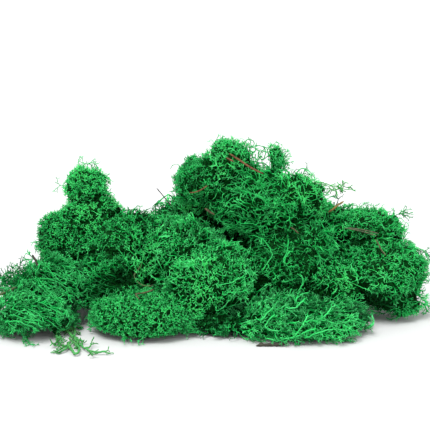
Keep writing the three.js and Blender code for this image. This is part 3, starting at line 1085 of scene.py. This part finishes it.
limbShape = {
    "lift": 2.5,  # how high a drawn branch lies on its tuft
    "step": 1.3,
    "jitter": 0.2,
    "fat": 0.55,  # thicker branches are six-sided, and the others three-sided
    "thin": 0.65,  # thickness left at the end
    "uneven": (0.88, 1.12),
    "tip": 0.6,
    "along": (0.5, 0.35),  # at its start, and gained on its way
    "toneSpread": 0.04,
}


def drawnPath(limb, line, surface):
    # the places, in mm, that a drawn line has on its tuft or its sheet
    places = []
    for across, upwards in line:
        way = sightLine(across, upwards)
        if "height" in limb:
            place = onPlane(way, 2, limb["height"])
        elif "depth" in limb:
            place = onPlane(way, 1, limb["depth"])
        else:
            place, normal = surface.ray_cast(eye, way)[:2]
            if place is None:
                continue
            if not places:
                places.append((place - normal * limbShape["lift"] * mm) / mm)
            place = place + normal * limbShape["lift"] * mm
        places.append(place / mm)
    return places


limbSides = {
    "end": 4,  # rings at the end, where more side branches grow and point further onwards
    "endShare": 0.9,
    "share": 0.75,
    "endWay": 1.2,
    "way": 0.6,
    "bend": 0.25,
    "along": 0.45,
    "toneSpread": 0.08,
}


def growLimb(bm, layers, limb, look, strands, rng):
    # a smooth branch along a path, with side branches on its way
    thick, tone, sides, path = limb
    places = smoothPath(path, limbShape["step"])
    places = [place + randomVector(rng) * limbShape["jitter"] * mm for place in places]
    tone = someTone(tone, limbShape["toneSpread"], rng)

    def halves(share, corner):
        half = thick * (1 + (limbShape["thin"] - 1) * share) * rng.uniform(*limbShape["uneven"])
        return half, half

    rings = sweep(bm, places, 6 if thick > limbShape["fat"] else 3, halves, thick * limbShape["tip"])
    for index, (ring, place) in enumerate(zip(rings, places)):
        for vert in ring:
            vert[layers["along"]] = limbShape["along"][0] + limbShape["along"][1] * index / len(rings)
            vert[layers["tone"]] = toneShadedBelow(tone, vert.co - place)
    tips = []
    for index, (a, b) in enumerate(zip(places, places[1:])):
        isEnd = index > len(places) - limbSides["end"]
        if rng.random() > (limbSides["endShare"] if isEnd else sides * limbSides["share"]):
            continue
        onwards = (b - a).normalized()
        aside = randomVector(rng)
        aside = (aside - onwards * aside.dot(onwards)).normalized()
        way = (onwards * limbSides["endWay" if isEnd else "way"] + aside).normalized()
        bend = randomVector(rng).normalized() * limbSides["bend"]
        strand = Strand(way, bend, someTone(tone, limbSides["toneSpread"], rng), look["size"])
        tips.append(startStub(bm, layers, b, strand, len(strands), rng, limbSides["along"]))
        strands.append(strand)
    grow(bm, layers, tips, strands, growths["blunt" if look["habit"] == "sprig" else "side"], rng)


bush = {"spacing": 4.2, "thick": 0.42, "sides": 0.7, "rootSpread": 1.0, "bowAt": 0.55, "bow": 1.5}


def bushLimbs(points, root, look, rng):
    # from the root of an open tuft out to points strewn over it
    paths = []
    apart = bush["spacing"] * look["size"] * mm
    for place, normal, *_ in points:
        if any((place - path[-1]).length < apart for path in paths):
            continue
        start = root + randomVector(rng) * bush["rootSpread"] * mm
        bow = start.lerp(place, bush["bowAt"]) + normal * bush["bow"] * mm
        paths.append([start, bow + randomVector(rng) * bush["bow"] * mm, place])
    return [(bush["thick"], look["tone"], bush["sides"], [point / mm for point in path]) for path in paths]


def finishPiece(bm, name):
    mesh = bpy.data.meshes.new(name)
    bm.to_mesh(mesh)
    bm.free()
    mesh.shade_smooth()
    piece = bpy.data.objects.new(name, mesh)
    bpy.context.collection.objects.link(piece)
    return piece


def growTuft(name, number):
    look = {**usualTuft, **tufts[name]}
    rng = random.Random(number)
    others = surfaceOf([other for other in tufts if other != name])
    low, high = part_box(name)
    middle = (Vector(low) + Vector(high)) / 2
    half = (Vector(high) - Vector(low)) / 2
    root = middle + Vector(tuple(share * size for share, size in zip(look["root"], half)))
    points = pointsOver(frame["nodes"][name], look, others, rng)
    bm = bmesh.new()
    layers = {
        "strand": bm.faces.layers.int.new("strand"),
        "along": bm.verts.layers.float.new("along"),
        "tone": bm.verts.layers.float.new("tone"),
    }
    shift = randomVector(rng) * 20  # gives each tuft lumps of its own
    surface = surfaceOf([name])
    drawn = [(limb["thick"], limb["tone"], limb["sides"], drawnPath(limb, line, surface))
             for limb in limbs if limb["tuft"] == name for line in limb["lines"]]
    drawn = [limb for limb in drawn if len(limb[-1]) > 1]
    strands = []
    if look["habit"] == "closed":
        strands, started = startSprigs(bm, layers, points, root, look, shift, rng)
        for kind in starts:
            grow(bm, layers, started[kind], strands, growths[kind], rng)
        addHeart(bm, layers, frame["nodes"][name], others, look, shift)
    elif look["habit"] == "bush":
        drawn += bushLimbs(points, root, look, rng)
    for limb in drawn:
        growLimb(bm, layers, limb, look, strands, rng)
    piece = finishPiece(bm, name + "_branches")
    layChart(piece.data)
    return piece


# The inside of a tuft, a sheet sunk below its branches and coloured as painted shade. hidden is how far
# where it lies between others.
heartShape = {"depth": 4.4, "hidden": 0.3, "openRoom": 5, "rounds": 2, "longest": 5.0, "roughSize": 4.0,
              "roughHeight": 0.7, "relief": 0.8}


def addHeart(bm, layers, node, others, look, shift):
    # the matted inside of a tuft, a sheet of painted shade, sunk below its branches where the tuft lies
    # open
    heart = mergedCopy(node)
    for _ in range(heartShape["rounds"]):
        long = [edge for edge in heart.edges if edge.calc_length() > heartShape["longest"] * mm]
        bmesh.ops.subdivide_edges(heart, edges=long, cuts=1, use_grid_fill=True)
    bmesh.ops.triangulate(heart, faces=heart.faces)
    heart.normal_update()
    sunk = []
    for vert in heart.verts:
        start = vert.co + vert.normal * strewing["contact"]["start"] * mm
        depth = heartShape["hidden"]
        if others.ray_cast(start, vert.normal, heartShape["openRoom"] * mm)[0] is None:
            rough = noise.noise(vert.co / (heartShape["roughSize"] * mm)) * heartShape["roughHeight"]
            depth = heartShape["depth"] * look["size"] * coarseness(vert.normal)
            depth += rough - lumpAt(vert.co, shift, look["relief"]) * heartShape["relief"]
        sunk.append(vert.co - vert.normal * max(depth, heartShape["hidden"]) * mm)
    for vert, place in zip(heart.verts, sunk):
        vert.co = place
        vert.co.z = max(vert.co.z, floorGap["heart"] * mm)
    temp = bpy.data.meshes.new("heart")
    heart.to_mesh(temp)
    heart.free()
    before = len(bm.faces)
    bm.from_mesh(temp)
    bpy.data.meshes.remove(temp)
    bm.faces.ensure_lookup_table()
    for index in range(before, len(bm.faces)):
        bm.faces[index][layers["strand"]] = -1


def readAll(items, name, width, kind):
    values = np.zeros(len(items) * width, kind)
    items.foreach_get(name, values)
    return values


def layChart(mesh):
    # branches take the upper part of the map by along and tone, the inside fills six tiles below
    along = readAll(mesh.attributes["along"].data, "value", 1, np.float32)
    tone = readAll(mesh.attributes["tone"].data, "value", 1, np.float32)
    corners = readAll(mesh.loops, "vertex_index", 1, np.int32)
    chart = np.stack([along[corners], strandHalf + (1 - strandHalf) * tone[corners]], 1)

    strand = readAll(mesh.attributes["strand"].data, "value", 1, np.int32)
    sides = readAll(mesh.polygons, "loop_total", 1, np.int32)
    normals = readAll(mesh.polygons, "normal", 3, np.float32).reshape(-1, 3)
    normals = np.repeat(normals, sides, axis=0)
    inHeart = np.repeat(strand == -1, sides)
    places = readAll(mesh.vertices, "co", 3, np.float32).reshape(-1, 3)
    low = places.min(0)
    share = ((places - low) / (places.max(0) - low))[corners]
    axis = np.abs(normals).argmax(1)
    flip = np.take_along_axis(normals, axis[:, None], 1)[:, 0] < 0
    across = np.where(axis == 0, share[:, 1], share[:, 0])
    upwards = np.where(axis == 2, share[:, 1], share[:, 2])
    filled = 1 - 2 * chartGap
    tileX = (axis + chartGap + filled * across) / 3
    tileY = (flip + chartGap + filled * upwards) / 2 * (strandHalf - chartGap)
    chart[inHeart] = np.stack([tileX, tileY], 1)[inHeart]
    mesh.uv_layers.new(name="OFBake").data.foreach_set("uv", chart.astype(np.float32).ravel())
    for name in ("along", "tone", "strand"):
        mesh.attributes.remove(mesh.attributes[name])


print("needles, twigs and bark")

# Finish, width and thickness in mm, how rough the outline is, and the line as the camera sees it, drawn
# like the single branches. How deep it lies comes from its node.
sticks = {
    "summit_needle": ("redNeedle", 1.3, 0.8, 0.05, ((10, 43), (17, 38.5), (24.5, 33.5), (33.5, 29))),
    "summit_needle_stub": ("redNeedle", 1.2, 0.8, 0.05, ((8, 40), (10, 39), (13, 37.5))),
    "head_needle": ("redNeedle", 0.9, 0.6, 0.05, ((-18, 15.5), (-14, 16), (-10, 17.5), (-5.5, 20.5))),
    "head_flake": ("brownNeedle", 1.5, 0.7, 0.3, ((-7, 4.5), (-4, 2.5), (-0.5, 0.5))),
    "saddle_needle": ("darkBark", 0.7, 0.6, 0.1, ((-41, 19), (-38, 15.5), (-33.5, 10), (-29.5, 5))),
    "ridge_twig": ("paleTwig", 1.5, 1.3, 0.15, ((79.5, 2), (82.5, 4), (86, 7), (90, 9.5))),
    "crest_needle_upper": ("greyNeedle", 0.9, 0.7, 0.06, (
        (93, -9), (101.5, -10), (108.5, -11.5), (114.5, -13))),
    "crest_needle_lower": ("greyNeedle", 0.9, 0.7, 0.06, (
        (90.5, -9), (96, -10), (103, -11.5), (113, -14.5))),
    "cushion_needle": ("brownNeedle", 0.9, 0.7, 0.05, (
        (112.5, -17), (114.5, -20.5), (116.5, -24.5), (119.5, -28))),
    "shoulder_needle": ("brownNeedle", 0.9, 0.7, 0.06, ((53, -8.5), (56, -10.5), (58.5, -13))),
    "curled_twig": ("greenTwig", 0.8, 0.7, 0.1, (
        (-51, -33), (-53, -37), (-56, -41), (-56.5, -43), (-54, -47), (-49.5, -49.5), (-43, -49.5))),
    "bent_needle": ("brownNeedle", 0.9, 0.7, 0.06, (
        (-43, -52), (-48, -54), (-54, -55), (-55.5, -55.5), (-53, -59))),
    "ground_bark": ("darkBark", 2.2, 1.3, 0.25, (
        (29, -91.5), (33.5, -91), (40, -91), (46, -90.5), (50.5, -90))),
    "edge_twig": ("greenTwig", 1.8, 1.6, 0.15, (
        (-158, -56.5), (-150.5, -55.5), (-147.5, -54.5), (-144, -53), (-139.5, -50.5))),
    "edge_bark_chip": ("darkBark", 1.5, 0.9, 0.25, (
        (-128, -28), (-126.5, -30.5), (-125.5, -32), (-124.5, -35.5))),
}
dryColours = {
    "redNeedle": {"light": (0.160, 0.064, 0.020, 1), "dark": (0.036, 0.016, 0.006, 1)},
    "paleTwig": {"light": (0.230, 0.160, 0.038, 1), "dark": (0.060, 0.040, 0.012, 1)},
    "brownNeedle": {"light": (0.115, 0.090, 0.040, 1), "dark": (0.022, 0.022, 0.010, 1)},
    "greyNeedle": {"light": (0.090, 0.105, 0.050, 1), "dark": (0.016, 0.026, 0.011, 1)},
    "greenTwig": {"light": (0.090, 0.140, 0.046, 1), "dark": (0.012, 0.040, 0.010, 1)},
    "darkBark": {"light": (0.050, 0.048, 0.032, 1), "dark": (0.007, 0.009, 0.005, 1)},
}
stickShape = {
    "corners": 8,
    "ring": 0.9,
    "groove": 0.18,  # how deep its two grooves are, as a share of the half width
    "taper": 0.10,  # share of the length at each end
    "tipWidth": 0.35,
    "tip": 0.5,
    "lift": 1.8,  # how far it lies in front of its node
    "seed": 1000,
}
grainShape = {
    "stretch": (0.35, 9.0, 1.0),
    "streaks": {"Scale": 1.0, "Detail": 5, "Roughness": 0.65},
    "blotches": {"Scale": 0.45, "Detail": 3},
    "light": (0.78, 1.15),  # where dark turns into light
    "roughness": (0.75, 0.45),
    "bump": {"Strength": 0.5, "Distance": 0.2 * mm},
    "shine": 0.3,
    "apart": 5,  # between one stick and the next on the map
}


def grainGroup():
    # long streaks and blotches, on a map that runs along a stick in mm and once around it
    tree, given = startGroup("dryGrain", {"place": "Vector", "light": "Color", "dark": "Color"},
                             {"colour": "Color", "height": "Float", "roughness": "Float"})
    stretched = addNode(tree, "VectorMath", {0: given["place"], 1: grainShape["stretch"]},
                        operation="MULTIPLY").outputs["Vector"]
    streaks = addNode(tree, "TexNoise", {**grainShape["streaks"], "Vector": stretched})
    blotches = addNode(tree, "TexNoise", {**grainShape["blotches"], "Vector": given["place"]})
    streak = streaks.outputs["Fac"]
    both = addNode(tree, "Math", {0: streak, 1: blotches.outputs["Fac"]}, operation="ADD")
    share = addRange(tree, both.outputs["Value"], grainShape["light"])
    return endGroup(tree, {"colour": addMix(tree, share, given["dark"], given["light"]), "height": streak,
                           "roughness": addRange(tree, streak, end=grainShape["roughness"])})


dryGrain = grainGroup()


def dryMaterial(finish):
    material, tree, shader = startMaterial(finish)
    chart = addNode(tree, "UVMap", {}, uv_map="grain").outputs["UV"]
    grain = addNode(tree, "Group", {**dryColours[finish], "place": chart}, node_tree=dryGrain).outputs
    bump = addNode(tree, "Bump", {**grainShape["bump"], "Height": grain["height"]})
    tree.links.new(grain["colour"], shader.inputs["Base Color"])
    tree.links.new(grain["roughness"], shader.inputs["Roughness"])
    tree.links.new(bump.outputs["Normal"], shader.inputs["Normal"])
    shader.inputs["Specular IOR Level"].default_value = grainShape["shine"]
    return material


dryMaterials = {finish: dryMaterial(finish) for finish in dryColours}


def stickPath(name, line):
    # the line lies on its node's near side, a little clear of the moss around it
    surface = surfaceOf([name])
    low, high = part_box(name)
    depth = (low[1] + high[1]) / 2 / mm
    places = []
    for across, upwards in line:
        way = sightLine(across, upwards)
        for _ in range(3):  # nearer to the node each time
            depth = surface.find_nearest(onPlane(way, 1, depth))[0].y / mm
        places.append(onPlane(way, 1, depth - stickShape["lift"]) / mm)
    return places


def makeStick(name, number):
    finish, width, thick, rough, line = sticks[name]
    rng = random.Random(stickShape["seed"] + number)
    places = smoothPath(stickPath(name, line), stickShape["ring"])
    corners = stickShape["corners"]

    def halves(share, corner):
        taper = min(share, 1 - share) / stickShape["taper"] * (1 - stickShape["tipWidth"])
        full = min(1, stickShape["tipWidth"] + taper)
        reach = full * (1 + rng.gauss(0, rough)) * (1 - stickShape["groove"] * (corner % 4 == 2)) / 2
        return width * reach, thick * reach

    bm = bmesh.new()
    rings = sweep(bm, places, corners, halves, stickShape["tip"])
    spot = {vert: (index, corner) for index, ring in enumerate(rings) for corner, vert in enumerate(ring)}
    chart = bm.loops.layers.uv.new("grain")
    shift = grainShape["apart"] * number
    for face in bm.faces:
        atSeam = {spot[vert][1] for vert in face.verts} >= {0, corners - 1}
        for loop in face.loops:
            index, corner = spot[loop.vert]
            corner = corners if atSeam and corner == 0 else corner
            loop[chart].uv = (index * stickShape["ring"], corner / corners * 2 * width + shift)
    piece = finishPiece(bm, name + "_piece")
    piece.data.materials.append(dryMaterials[finish])
    return piece


slotOf = {row["node"]: row["material_slot"] for row in frame["record"]["subparts"]}
total = 0
for number, name in enumerate(tufts):
    piece = growTuft(name, number)
    piece.data.materials.append(mossMaterials[slotOf[name]])
    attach(piece, "root")
    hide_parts(name)
    triangles = sum(len(p.vertices) - 2 for p in piece.data.polygons)
    total += triangles
    print(f"  {name}: {triangles} triangles")
print("triangles in all", total)
for number, name in enumerate(sticks):
    piece = makeStick(name, number)
    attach(piece, "root")
    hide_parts(name)
